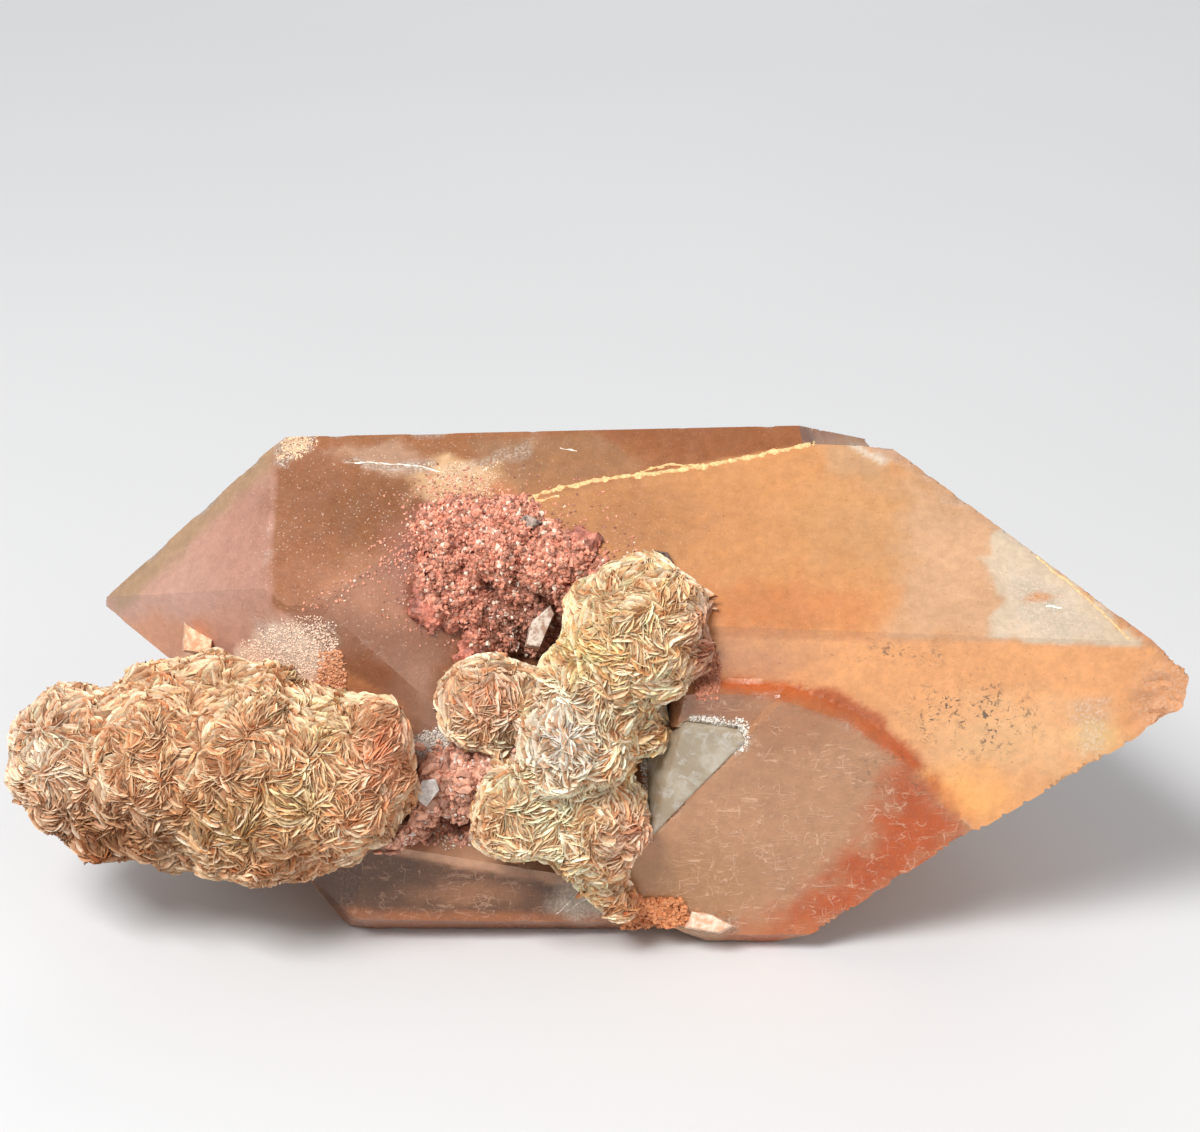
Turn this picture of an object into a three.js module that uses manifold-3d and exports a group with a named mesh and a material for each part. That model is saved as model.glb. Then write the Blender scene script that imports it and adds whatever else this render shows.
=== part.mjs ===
// A tangerine quartz cluster: two large quartz crystals grown side by side, smaller ones beneath them,
// and rosettes of thin iron-stained blades that grew over their front.
// Millimetres, +Z up, front towards -Y, the long crystals lie along X.

import * as THREE from "three";
import { ConvexGeometry } from "three/addons/geometries/ConvexGeometry.js";
import { mergeVertices } from "three/addons/utils/BufferGeometryUtils.js";
import Module from "manifold-3d";

const wasm = await Module();
wasm.setup();

// Driving dimensions
const REST_HEIGHT = 0; // the surface that the cluster stands on
const GAP = 0.3; // air left between two separate minerals
const TIP_SLOPE = 38.2; // degrees between a quartz side face and the tip face above it
const OVERLAP = 0.08; // how far one crystal reaches into the next where they grew together

const radians = THREE.MathUtils.degToRad;

// Draws repeatable numbers from 0 to 1.
function dice(seed) {
  let state = seed;
  return () => {
    state = (state + 0x6d2b79f5) | 0;
    let mixed = Math.imul(state ^ (state >>> 15), 1 | state);
    mixed = (mixed + Math.imul(mixed ^ (mixed >>> 7), 61 | mixed)) ^ mixed;
    return ((mixed ^ (mixed >>> 14)) >>> 0) / 4294967296;
  };
}

// Solids from geometry, and back

function solidFrom(geometry) {
  const bare = geometry.clone();
  bare.deleteAttribute("normal");
  bare.deleteAttribute("uv");
  const merged = mergeVertices(bare, 1e-4);
  return new wasm.Manifold(
    new wasm.Mesh({
      numProp: 3,
      vertProperties: new Float32Array(merged.attributes.position.array),
      triVerts: new Uint32Array(merged.index.array),
    }),
  );
}

function meshFrom(name, solid, look) {
  const { vertProperties, triVerts, numProp } = solid.getMesh();
  const positions = new THREE.InterleavedBuffer(vertProperties, numProp);
  const geometry = new THREE.BufferGeometry();
  geometry.setAttribute("position", new THREE.InterleavedBufferAttribute(positions, 3, 0));
  geometry.setIndex(new THREE.BufferAttribute(triVerts, 1));
  const flat = geometry.toNonIndexed();
  flat.computeVertexNormals();
  const mesh = new THREE.Mesh(flat, new THREE.MeshStandardMaterial(look));
  mesh.name = name;
  return mesh;
}

// Flat-faced crystals. A face is a plane: its outward normal and its distance from the origin.

function facing(azimuth, elevation) {
  const [a, e] = [radians(azimuth), radians(elevation)];
  return new THREE.Vector3(Math.cos(e) * Math.sin(a), -Math.cos(e) * Math.cos(a), Math.sin(e));
}

function faceThrough(point, azimuth, elevation) {
  const normal = facing(azimuth, elevation);
  return { normal, offset: normal.dot(new THREE.Vector3(...point)) };
}

// The solid inside every one of the faces, each moved out by grow.
function insideOf(faces, grow = 0) {
  const corners = [];
  const within = (p) => faces.every((f) => f.normal.dot(p) <= f.offset + grow + 1e-6);
  for (let i = 0; i < faces.length; i++)
    for (let j = i + 1; j < faces.length; j++)
      for (let k = j + 1; k < faces.length; k++) {
        const [a, b, c] = [faces[i], faces[j], faces[k]];
        const ab = a.normal.clone().cross(b.normal);
        const bc = b.normal.clone().cross(c.normal);
        const ca = c.normal.clone().cross(a.normal);
        const spread = a.normal.dot(bc);
        if (Math.abs(spread) < 1e-6) continue;
        const corner = bc
          .multiplyScalar(a.offset + grow)
          .addScaledVector(ca, b.offset + grow)
          .addScaledVector(ab, c.offset + grow)
          .divideScalar(spread);
        if (within(corner) && !corners.some((p) => p.distanceTo(corner) < 1e-4)) corners.push(corner);
      }
  return solidFrom(new ConvexGeometry(corners));
}

// A quartz crystal's faces: six sides round its long axis, which points right, and six slanting tip
// faces at each end. side is the distance from the axis to each side face, from the front one round
// over the top; right and left say how far along the axis each tip face would reach.
function quartzFaces({ at, yaw = 0, pitch = 0, roll = 0, side, right, left, cuts = [] }) {
  const turn = new THREE.Quaternion()
    .setFromAxisAngle(new THREE.Vector3(0, 0, 1), radians(yaw))
    .multiply(new THREE.Quaternion().setFromAxisAngle(new THREE.Vector3(0, 1, 0), radians(-pitch)));
  const centre = new THREE.Vector3(...at);
  const slope = radians(TIP_SLOPE);
  const faces = [];
  const addFace = (normal, distance) => {
    normal.applyQuaternion(turn);
    faces.push({ normal, offset: distance + normal.dot(centre) });
  };
  for (let k = 0; k < 6; k++) {
    const around = radians(roll + 60 * k);
    const out = new THREE.Vector3(0, -Math.cos(around), Math.sin(around));
    addFace(out.clone(), side[k]);
    for (const [reach, end] of [[right, 1], [left, -1]]) {
      if (!reach) continue;
      const tip = out.clone().multiplyScalar(Math.cos(slope));
      tip.x = end * Math.sin(slope);
      addFace(tip, reach[k] * Math.sin(slope));
    }
  }
  return faces.concat(cuts.map(([point, azimuth, elevation]) => faceThrough(point, azimuth, elevation)));
}

// The back left crystal, pointed at its left end
const leftCrystal = quartzFaces({
  at: [-20, -3, 45],
  pitch: 1.4,
  side: [28.5, 28.5, 28, 27, 27, 28],
  left: [65.5, 69, 66.5, 68, 66, 62],
  cuts: [
    [[-83.5, -1, 42], -82, -8],
    [[35.5, 0, 75], 80, 30],
    [[-51.8, -3, 76.4], -35, 62],
  ],
});

// The front right crystal, pointed at its right end
const rightCrystal = quartzFaces({
  at: [30, -5.5, 38.5],
  yaw: -4.3,
  roll: 4,
  side: [35.5, 35.1, 31.5, 31, 31, 30],
  right: [110, 110, 57.8, 66, 80, 90],
  cuts: [
    [[-13, -20, 60], -78, 12],
    [[-13, -20, 60], -120, -14],
    [[47.6, -11, 75.5], 52, 74],
    [[60.1, -44.3, 26.4], 95, -53],
    [[90.6, -45, 50], 72, -8],
  ],
});

// The crystal low at the right that the cluster leans on in front: its sides, and the faces that only it has.
// The right crystal grew on round its sides.
const lowerRightSides = [
  faceThrough([53.6, -43.3, 34.6], 61.7, 33.6), // along the right crystal
  faceThrough([40.4, -44.1, 45.3], 39.2, 36.8), // rounded ledge at its upper right
  faceThrough([36.1, -44.1, 47.9], 46.4, 50),
  faceThrough([29.6, -44.1, 50.3], 50.3, 64.2),
  faceThrough([23.9, -44, 51.1], 0, 84),
];
const lowerRightCrystal = [
  ...lowerRightSides,
  faceThrough([54.9, -43.5, 32], -1.5, -4), // broad front face
  faceThrough([58.8, -43.1, 25.2], 107.6, -46.6), // lower right edge
  faceThrough([22.8, -43.5, 43.1], -39, 22.1), // clear window at its upper left
  faceThrough([21.6, -40.7, 3.9], 0, -42),
  faceThrough([10, -40.4, 6.2], -42, -50),
  faceThrough([20, -10, 20], 180, 0),
  faceThrough([-4, -30, 5], -90, -10),
  faceThrough([30, -20, -1], 0, -90),
];
const lowerRightShoulder = [
  ...lowerRightSides,
  faceThrough([54.9, -42.7, 32], -1.5, -4),
  faceThrough([22.5, -43.6, 45.5], 0, -60),
  faceThrough([12.5, -43, 47], -80, 10),
  faceThrough([20, -12, 40], 180, 0),
];

// The bar-shaped crystal low at the left
const lowerLeftCrystal = quartzFaces({
  at: [-24, -28.5, 6.5],
  pitch: -11,
  roll: 14,
  side: [10, 11.5, 11, 11, 10, 10],
  right: [60, 60, 60, 60, 60, 60],
  left: [29, 29, 29, 29, 29, 29],
  cuts: [[[-24, -38, 4.5], 0, -45]],
});

// Smaller crystals out of sight behind, which carry the back of the cluster
const backCrystal = quartzFaces({
  at: [6, 18, 12],
  yaw: 9,
  pitch: -3,
  roll: 18,
  side: [12, 14, 13, 12, 14, 13],
  right: [44, 46, 47, 44, 46, 44],
  left: [46, 44, 47, 46, 44, 46],
});
const backLeftCrystal = quartzFaces({
  at: [-36, 8, 17],
  yaw: -24,
  pitch: 14,
  roll: -8,
  side: [12, 13, 12, 12, 13, 12],
  left: [37, 38, 36, 37, 38, 36],
  right: [30, 30, 30, 30, 30, 30],
});

// The hollow between the crystals, open to the front: a dusky wall at its left, a wall under the upper
// edge, and a wall at its right
const pocketWalls = [
  [[-48.3, -33.9, 60.3], 27.6, 23.6],
  [[-27.3, -18.5, 69.2], -25.9, -15.3],
  [[7, -30, 40], -90, 0],
];
const pocketBox = [
  [[0, -90, 0], 0, 0],
  [[0, 0, 110], 0, 90],
  [[0, 0, 14], 0, -90],
  [[-110, 0, 0], -90, 0],
  [[0, 90, 0], 180, 0],
  [[110, 0, 0], 90, 0],
];

// The part of the right crystal that the crystal below it takes up
const seatBox = [
  [[0, -90, 0], 0, 0],
  [[0, 0, -20], 0, -90],
  [[-30, 0, 0], -90, 0],
  [[0, -28, 0], 180, 0],
];

function opposite({ normal, offset }) {
  return { normal: normal.clone().negate(), offset: -offset };
}

function quartzSolid(grow) {
  const box = pocketBox.map((wall) => faceThrough(...wall));
  const pocket = pocketWalls.map((wall) => opposite(faceThrough(...wall))).concat(box);
  const seat = lowerRightSides.concat(seatBox.map((wall) => faceThrough(...wall)));
  const right = insideOf(rightCrystal, grow).subtract(insideOf(seat, -grow - OVERLAP));
  const large = insideOf(leftCrystal, grow).add(right).subtract(insideOf(pocket, -grow));
  return [lowerRightCrystal, lowerRightShoulder, lowerLeftCrystal, backCrystal, backLeftCrystal].reduce(
    (whole, faces) => whole.add(insideOf(faces, grow)),
    large,
  );
}

const floor = solidFrom(new THREE.BoxGeometry(400, 400, 100).translate(0, 0, REST_HEIGHT - 50));
const quartz = quartzSolid(0).subtract(floor);

// Rosettes: lumps of iron-stained mineral whose surface is packed with thin six-sided blades on edge.

function lump([x, y, z, radius], draw, detail = 2) {
  const ball = new THREE.IcosahedronGeometry(radius, detail);
  ball.deleteAttribute("normal");
  ball.deleteAttribute("uv");
  const whole = mergeVertices(ball, 1e-4);
  const at = whole.attributes.position;
  for (let i = 0; i < at.count; i++) {
    const swell = 0.92 + 0.16 * draw();
    at.setXYZ(i, x + at.getX(i) * swell, y + at.getY(i) * swell, z + at.getZ(i) * swell);
  }
  return solidFrom(whole);
}

// One blade stands on edge: along lies in the surface, out points away from it, and it thins to its rim.
function blade(foot, along, out, [length, height, thickness]) {
  const across = new THREE.Vector3().crossVectors(along, out);
  const corner = (u, v, w) => {
    const point = foot.clone().addScaledVector(along, u * length);
    return point.addScaledVector(out, v).addScaledVector(across, w * thickness);
  };
  const corners = [corner(-0.34, height, 0), corner(0.3, height, 0)];
  for (const u of [-0.5, 0.5]) for (const w of [-0.5, 0.5]) corners.push(corner(u, -1.2, w));
  return solidFrom(new ConvexGeometry(corners));
}

const BLADE_RISE = 1.6; // how far blade tips stand out of the lumps
const BLADE_STEP = 2.3; // from one blade of a pack to the next

function rosette(lobes, seed, spacing) {
  const draw = dice(seed);
  const parts = lobes.map((lobe) => lump(lobe, draw, 1));
  const centres = lobes.map(([x, y, z]) => new THREE.Vector3(x, y, z));
  lobes.forEach(([, , , radius], index) => {
    const packs = Math.round((4 * Math.PI * radius * radius) / (spacing * spacing));
    const twist = draw() * 3;
    for (let i = 0; i < packs; i++) {
      const height = 1 - (2 * i + 1) / packs;
      const turn = i * 2.39996 + twist;
      const ring = Math.sqrt(1 - height * height);
      const out = new THREE.Vector3(ring * Math.cos(turn), ring * Math.sin(turn), height);
      const foot = centres[index].clone().addScaledVector(out, radius);
      const inside = (centre, other) => other !== index && foot.distanceTo(centre) < lobes[other][3] + 1.2;
      const buried = centres.some(inside);
      if (buried || out.y > 0.45) continue;
      const waves = 2.2 * Math.sin(foot.x * 0.11 + foot.z * 0.07);
      const swirl = waves + 1.6 * Math.cos(foot.z * 0.13 - foot.x * 0.05);
      const along = new THREE.Vector3(1, 0, 0.2).projectOnPlane(out).normalize().applyAxisAngle(out, swirl);
      const across = new THREE.Vector3().crossVectors(along, out);
      for (const step of [-0.5, 0.5]) {
        const lean = out.clone().applyAxisAngle(along, -0.3 * step + 0.2 * (draw() - 0.5));
        const veer = along.clone().applyAxisAngle(out, 0.3 * step + 0.3 * (draw() - 0.5));
        veer.projectOnPlane(lean).normalize();
        const size = [4.6 + 1.6 * draw(), BLADE_RISE * (0.75 + 0.25 * draw()), 1.5];
        parts.push(blade(foot.clone().addScaledVector(across, BLADE_STEP * step), veer, lean, size));
      }
    }
  });
  return wasm.Manifold.union(parts);
}

function biggest(solid) {
  return solid.decompose().reduce((a, b) => (a.volume() > b.volume() ? a : b));
}

const leftLobes = [
  [-83.7, -32.5, 32.6, 11.7],
  [-69.8, -33.2, 32.3, 15.7],
  [-54.7, -34.5, 31.9, 17.8],
  [-43.8, -36.8, 33, 13.4],
  [-36.8, -40.5, 40.9, 6.2],
  [-78, -35.1, 27.5, 10.7],
  [-48.8, -39.7, 23.2, 7.4],
  [-62.7, -29.7, 35.6, 12.4],
];
const middleLobes = [
  [6, -36.5, 59, 11.2],
  [0, -38.3, 51.4, 8.6],
  [-4.1, -41.5, 41, 7.7],
  [4.1, -37.3, 42.7, 5.7],
  [-12.8, -41.7, 28, 7.2],
  [-1.3, -41, 26.1, 8.5],
  [0.3, -40.7, 17.1, 4.1],
  [-18.3, -35.4, 45.1, 5.9],
  [3.6, -40.5, 12.1, 2.9],
  [8.2, -40.7, 8.6, 2.1],
];

const nearQuartz = quartzSolid(GAP).add(floor);
const leftRosette = biggest(rosette(leftLobes, 11, 7.8).subtract(nearQuartz));
const middleRosette = biggest(rosette(middleLobes, 29, 7.6).subtract(nearQuartz));

// Crusts of small crystals, scattered over a patch of the quartz as seen from its open side

const OPEN_SIDE = new THREE.Vector3(0, -0.883, 0.469);
const quartzMesh = meshFrom("quartz_crystals", quartz, { color: 0xb06a3a, roughness: 0.35, metalness: 0 });

function crust(centre, across, up, count, seed) {
  const draw = dice(seed);
  const ray = new THREE.Raycaster();
  const side = new THREE.Vector3(1, 0, 0);
  const rise = new THREE.Vector3().crossVectors(OPEN_SIDE, side).negate();
  const parts = [];
  for (let i = 0; i < count; i++) {
    const reach = Math.sqrt((i + 0.5) / count);
    const start = new THREE.Vector3(...centre)
      .addScaledVector(side, across * reach * Math.cos(i * 2.39996))
      .addScaledVector(rise, up * reach * Math.sin(i * 2.39996))
      .addScaledVector(OPEN_SIDE, 60);
    ray.set(start, OPEN_SIDE.clone().negate());
    const [hit] = ray.intersectObject(quartzMesh);
    if (!hit) continue;
    const { x, y, z } = hit.point;
    const { normal } = hit.face;
    const bed = hit.point.clone().addScaledVector(normal, -1.8);
    if (i % 3 === 0) parts.push(lump([...bed.toArray(), 5.2], draw, 0));
    const scatter = new THREE.Vector3(draw() - 0.5, draw() - 0.5, draw() - 0.5);
    const lean = normal.clone().add(scatter).normalize();
    const upright = new THREE.Quaternion().setFromUnitVectors(new THREE.Vector3(0, 1, 0), lean);
    const width = 1.3 + 0.5 * draw();
    const corners = [new THREE.Vector3(0, 3.4, 0)];
    for (let k = 0; k < 6; k++) {
      const around = radians(60 * k);
      corners.push(new THREE.Vector3(width * Math.cos(around), 0.8, width * Math.sin(around)));
    }
    const point = new ConvexGeometry(corners.concat(new THREE.Vector3(0, -1, 0)));
    parts.push(solidFrom(point.applyQuaternion(upright).translate(x, y, z)));
  }
  return wasm.Manifold.union(parts);
}

// The room that a rosette takes up, which the crusts stop short of
function room(lobes) {
  const reach = (radius) => (radius + BLADE_RISE + GAP) / 1.05;
  return wasm.Manifold.union(lobes.map(([x, y, z, radius]) => lump([x, y, z, reach(radius)], () => 1)));
}

const rooms = nearQuartz.add(room(leftLobes)).add(room(middleLobes));
const redDruse = biggest(crust([-15, -22, 58], 15, 12, 42, 5).subtract(rooms));

// Blocks of the lower crust that close the slot between the bar-shaped crystal and the one above it
const slotBlocks = [
  [-33.4, -36.2, 24.2, 5.4],
  [-28, -33, 26.6, 5],
  [-22.6, -32.6, 24.2, 3.8],
];
const slotDraw = dice(3);
const slotFill = wasm.Manifold.union(slotBlocks.map((block) => lump(block, slotDraw, 0)));
const lowerCrust = biggest(crust([-33, -39, 26], 9, 5.5, 16, 8).add(slotFill).subtract(rooms));

const cluster = new THREE.Group();
cluster.add(
  quartzMesh,
  meshFrom("left_rosette", leftRosette, { color: 0xb98a5e, roughness: 0.8, metalness: 0 }),
  meshFrom("middle_rosette", middleRosette, { color: 0xc69a63, roughness: 0.8, metalness: 0 }),
  meshFrom("red_druse", redDruse, { color: 0x7a3a2c, roughness: 0.6, metalness: 0 }),
  meshFrom("lower_crust", lowerCrust, { color: 0x8a5148, roughness: 0.7, metalness: 0 }),
);

// The origin is under the middle of the whole, on the surface that it stands on.
const extent = new THREE.Box3().setFromObject(cluster);
const middle = extent.getCenter(new THREE.Vector3());
for (const mesh of cluster.children) mesh.geometry.translate(-middle.x, -middle.y, -extent.min.z);

export default cluster;
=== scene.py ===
import math

import bmesh
import bpy
import numpy as np
from mathutils import Matrix, Vector, noise
from mathutils.bvhtree import BVHTree
from mathutils.kdtree import KDTree


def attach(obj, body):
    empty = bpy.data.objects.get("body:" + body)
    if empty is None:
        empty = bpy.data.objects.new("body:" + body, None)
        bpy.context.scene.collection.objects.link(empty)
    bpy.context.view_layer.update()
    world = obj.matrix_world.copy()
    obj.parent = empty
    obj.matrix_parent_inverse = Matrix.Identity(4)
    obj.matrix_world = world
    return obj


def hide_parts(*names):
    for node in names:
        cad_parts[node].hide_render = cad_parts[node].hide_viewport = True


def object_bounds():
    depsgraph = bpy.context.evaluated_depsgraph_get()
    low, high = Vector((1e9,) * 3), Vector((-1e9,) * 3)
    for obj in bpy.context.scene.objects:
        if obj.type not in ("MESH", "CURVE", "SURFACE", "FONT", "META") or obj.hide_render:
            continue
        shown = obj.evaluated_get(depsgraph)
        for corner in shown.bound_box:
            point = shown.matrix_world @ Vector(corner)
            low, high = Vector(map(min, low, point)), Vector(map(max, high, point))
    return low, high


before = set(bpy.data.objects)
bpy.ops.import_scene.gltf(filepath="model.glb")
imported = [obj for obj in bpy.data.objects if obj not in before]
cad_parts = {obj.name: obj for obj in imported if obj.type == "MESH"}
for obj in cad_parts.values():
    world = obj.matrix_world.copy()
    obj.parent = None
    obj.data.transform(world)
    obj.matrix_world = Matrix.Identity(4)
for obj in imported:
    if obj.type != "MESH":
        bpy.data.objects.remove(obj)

cad_box = [list(corner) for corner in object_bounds()]

# Quartz crystals, clear to smoky silica stained tangerine by iron. They grew together from hot water
# as six-sided prisms with slanting tips, and their edges are bruised and chipped.
# Front view: the camera looks down 28 degrees from 0.48 m. Places in it are given on a frame 1200 wide
# and 1132 high. SHIFT takes the solid's own coordinates to those of the frame.
SHIFT = Vector((0.00203, 0.00872, 0))
AIM = SHIFT + Vector((0, 0, 0.051))
VIEW_DISTANCE = 0.48
VIEW_ANGLE = math.radians(28)
VIEW_STEP = 0.0001695
MIDDLE_X, MIDDLE_Y = 600, 566
TO_VIEWER = Vector((0, -math.cos(VIEW_ANGLE), math.sin(VIEW_ANGLE)))
VIEW_UP = Vector((0, math.sin(VIEW_ANGLE), math.cos(VIEW_ANGLE)))
EYE = AIM + VIEW_DISTANCE * TO_VIEWER


def front_view(points):
    """Places of N x 3 points in the front view's frame."""
    offset = points - np.array(AIM)
    scale = VIEW_DISTANCE / (VIEW_DISTANCE - offset @ np.array(TO_VIEWER)) / VIEW_STEP
    return np.stack([MIDDLE_X + offset[:, 0] * scale, MIDDLE_Y - offset @ np.array(VIEW_UP) * scale], axis=1)


def sight(x, y):
    """Direction from the eye to a place in the front view."""
    toward = AIM + Vector((1, 0, 0)) * ((x - MIDDLE_X) * VIEW_STEP) + VIEW_UP * ((MIDDLE_Y - y) * VIEW_STEP)
    return (toward - EYE).normalized()


def linear(colour):
    """An 8-bit display colour as linear numbers from 0 to 1."""
    part = np.array(colour, float) / 255
    return np.where(part < 0.04045, part / 12.92, ((part + 0.055) / 1.055) ** 2.4)


def smooth(low, high, value):
    t = np.clip((value - low) / (high - low), 0, 1)
    return t * t * (3 - 2 * t)


def waves(points, size, seed, octaves=3):
    """Smooth noise from -1 to 1 at each point."""
    shift = Vector((seed * 3.7, seed * 1.3, seed * 7.1))
    return np.array([noise.fractal(Vector(p) / size + shift, 1.0, 2.0, octaves) for p in points])


def area(view, shape, edge):
    """How far each place is inside a shape: 1 inside, 0 outside. A shape is a polygon or one ellipse."""
    if len(shape) == 1:
        x, y, rx, ry = shape[0]
        away = np.hypot((view[:, 0] - x) / rx, (view[:, 1] - y) / ry)
        return 1 - smooth(-edge, edge, (away - 1) * min(rx, ry))
    inside = np.zeros(len(view), bool)
    nearest = np.full(len(view), 1e9)
    for (x0, y0), (x1, y1) in zip(shape, shape[1:] + shape[:1]):
        dx, dy = x1 - x0, y1 - y0
        px, py = view[:, 0] - x0, view[:, 1] - y0
        t = np.clip((px * dx + py * dy) / (dx * dx + dy * dy), 0, 1)
        nearest = np.minimum(nearest, np.hypot(px - t * dx, py - t * dy))
        if dy:
            crosses = ((y0 > view[:, 1]) != (y1 > view[:, 1])) & (px < dx * py / dy)
            inside ^= crosses
    return smooth(-edge, edge, np.where(inside, nearest, -nearest))


def mesh_object(name, points, faces, smooth_angle=None):
    mesh = bpy.data.meshes.new(name)
    if isinstance(faces, np.ndarray):
        faces = faces.tolist()
    mesh.from_pydata(np.asarray(points).tolist(), [], faces)
    mesh.update()
    made = bpy.data.objects.new(name, mesh)
    bpy.context.collection.objects.link(made)
    mesh.polygons.foreach_set("use_smooth", [smooth_angle is not None] * len(mesh.polygons))
    if smooth_angle is not None and smooth_angle < 180:
        mesh.set_sharp_from_angle(angle=math.radians(smooth_angle))
    return made


def paint(made, name, values):
    values = np.asarray(values, float)
    if values.ndim == 1:
        layer = made.data.attributes.new(name, "FLOAT", "POINT")
        layer.data.foreach_set("value", values)
    else:
        layer = made.data.attributes.new(name, "FLOAT_COLOR", "POINT")
        layer.data.foreach_set("color", np.hstack([values, np.ones((len(values), 1))]).ravel())


class Look:
    """A procedural material built node by node in object coordinates."""

    def __init__(self, name, **values):
        self.material = bpy.data.materials.new(name)
        self.material.use_nodes = True
        self.tree = self.material.node_tree
        self.shader = self.tree.nodes["Principled BSDF"]
        self.where = self.tree.nodes.new("ShaderNodeTexCoord").outputs["Object"]
        for socket, value in values.items():
            self.shader.inputs[socket.replace("_", " ")].default_value = value

    def node(self, kind, inputs=(), **settings):
        made = self.tree.nodes.new("ShaderNode" + kind)
        for key, value in settings.items():
            setattr(made, key, value)
        for key, value in dict(inputs).items():
            if isinstance(value, bpy.types.NodeSocket):
                self.tree.links.new(value, made.inputs[key])
            else:
                made.inputs[key].default_value = value
        return made

    def layer(self, name, field="Fac"):
        return self.node("Attribute", attribute_name=name).outputs[field]

    def stretched(self, sizes):
        """Object coordinates in units of the three sizes, in metres."""
        scaled = self.node("VectorMath", {0: self.where}, operation="MULTIPLY")
        scaled.inputs[1].default_value = [1 / size for size in sizes]
        return scaled.outputs[0]

    def noise(self, size, detail=3, rough=0.55, sizes=None, distortion=0.0):
        vector = self.stretched(sizes or (size, size, size))
        made = self.node("TexNoise", {"Vector": vector, "Scale": 1.0, "Detail": detail})
        made.inputs["Roughness"].default_value = rough
        made.inputs["Distortion"].default_value = distortion
        return made.outputs["Fac"]

    def ramp(self, value, low, high, start=0.0, end=1.0):
        return self.node(
            "MapRange",
            {"Value": value, "From Min": low, "From Max": high, "To Min": start, "To Max": end},
            interpolation_type="SMOOTHSTEP",
        ).outputs[0]

    def math(self, operation, a, b=0.0):
        return self.node("Math", {0: a, 1: b}, operation=operation).outputs[0]

    def mix(self, amount, a, b, blend="MIX"):
        made = self.node("Mix", {0: amount, 6: a, 7: b}, data_type="RGBA", blend_type=blend)
        return made.outputs[2]

    def times(self, shade, factor):
        """A colour made lighter or darker by a factor."""
        grey = self.node("CombineColor", {0: factor, 1: factor, 2: factor}).outputs[0]
        return self.mix(1.0, shade, grey, "MULTIPLY")

    def bump(self, height, strength, distance, under=None):
        made = self.node("Bump", {"Height": height, "Strength": strength, "Distance": distance})
        if under:
            self.tree.links.new(under, made.inputs["Normal"])
        return made.outputs["Normal"]

    def finish(self, colour, normal=None, roughness=None):
        self.tree.links.new(colour, self.shader.inputs["Base Color"])
        if normal:
            self.tree.links.new(normal, self.shader.inputs["Normal"])
        if roughness:
            self.tree.links.new(roughness, self.shader.inputs["Roughness"])
        return self.material


def even_copy(node, voxel, soft=0, fill=0, lumps=()):
    """Points, normals and faces of a copy of a CAD node: meshed in even steps, creases filled, softened.
    Lumps (x, y, z and radius in mm) are added to it."""
    bm = bmesh.new()
    bm.from_mesh(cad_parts[node].data)
    for x, y, z, radius in lumps:
        spot = Matrix.Translation(SHIFT + Vector((x, y, z)) * 0.001)
        bmesh.ops.create_icosphere(bm, subdivisions=3, radius=radius * 0.001, matrix=spot)
    bare = bpy.data.meshes.new("copy")
    bm.to_mesh(bare)
    bm.free()
    copy = bpy.data.objects.new("copy", bare)
    bpy.context.collection.objects.link(copy)
    remesh = copy.modifiers.new("even", "REMESH")
    remesh.mode = "VOXEL"
    remesh.voxel_size = voxel
    if fill:
        for label, strength in (("grow", fill), ("again", 0), ("shrink", -fill)):
            step = copy.modifiers.new(label, "DISPLACE" if strength else "REMESH")
            if strength:
                step.mid_level, step.strength = 0, strength
            else:
                step.mode, step.voxel_size = "VOXEL", voxel
    if soft:
        copy.modifiers.new("soft", "SMOOTH").iterations = soft
    even = copy.evaluated_get(bpy.context.evaluated_depsgraph_get()).to_mesh()
    points = np.array([v.co for v in even.vertices])
    normals = np.array([v.normal for v in even.vertices])
    faces = [tuple(p.vertices) for p in even.polygons]
    bpy.data.objects.remove(copy)
    return points, normals, faces


# The crystal body in even steps, drawn back onto the flat faces and their edges so that these stay crisp
GRAIN = 0.0008
bm = bmesh.new()
bm.from_mesh(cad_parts["quartz_crystals"].data)
bmesh.ops.remove_doubles(bm, verts=bm.verts, dist=2e-5)
bmesh.ops.dissolve_limit(bm, angle_limit=math.radians(1), verts=bm.verts, edges=bm.edges)
edges, knots = [], []
for edge in bm.edges:
    bend = edge.calc_face_angle_signed(0) if len(edge.link_faces) == 2 else 0
    if abs(bend) > math.radians(8):
        a, b = (vert.co.copy() for vert in edge.verts)
        steps = max(2, int((b - a).length / 0.0004))
        knots += [(a.lerp(b, i / steps), len(edges)) for i in range(steps + 1)]
        edges.append((a, b - a, bend))
bmesh.ops.triangulate(bm, faces=bm.faces)
solid_tree = BVHTree.FromBMesh(bm)
bm.free()


def tree_of(knots):
    tree = KDTree(len(knots))
    for i, (point, _) in enumerate(knots):
        tree.insert(point, i)
    tree.balance()
    return tree


points, _, faces = even_copy("quartz_crystals", GRAIN)
near_edge = tree_of(knots)
drawn = []
for point in points:
    _, number, away = near_edge.find(point)
    if away < 0.62 * GRAIN:
        a, along, _ = edges[knots[number][1]]
        t = min(1, max(0, (Vector(point) - a).dot(along) / along.length_squared))
        drawn.append(a + along * t)
    else:
        drawn.append(solid_tree.find_nearest(point)[0])
bm = bmesh.new()
rows = [bm.verts.new(point) for point in drawn]
for face in faces:
    bm.faces.new([rows[i] for i in face])
bmesh.ops.remove_doubles(bm, verts=bm.verts, dist=0.00006)
bmesh.ops.dissolve_degenerate(bm, dist=0.00001, edges=bm.edges)
bm.normal_update()
bm.verts.index_update()
points = np.array([v.co for v in bm.verts])
normals = np.array([v.normal for v in bm.verts])
faces = [tuple(v.index for v in face.verts) for face in bm.faces]
bm.free()

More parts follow.
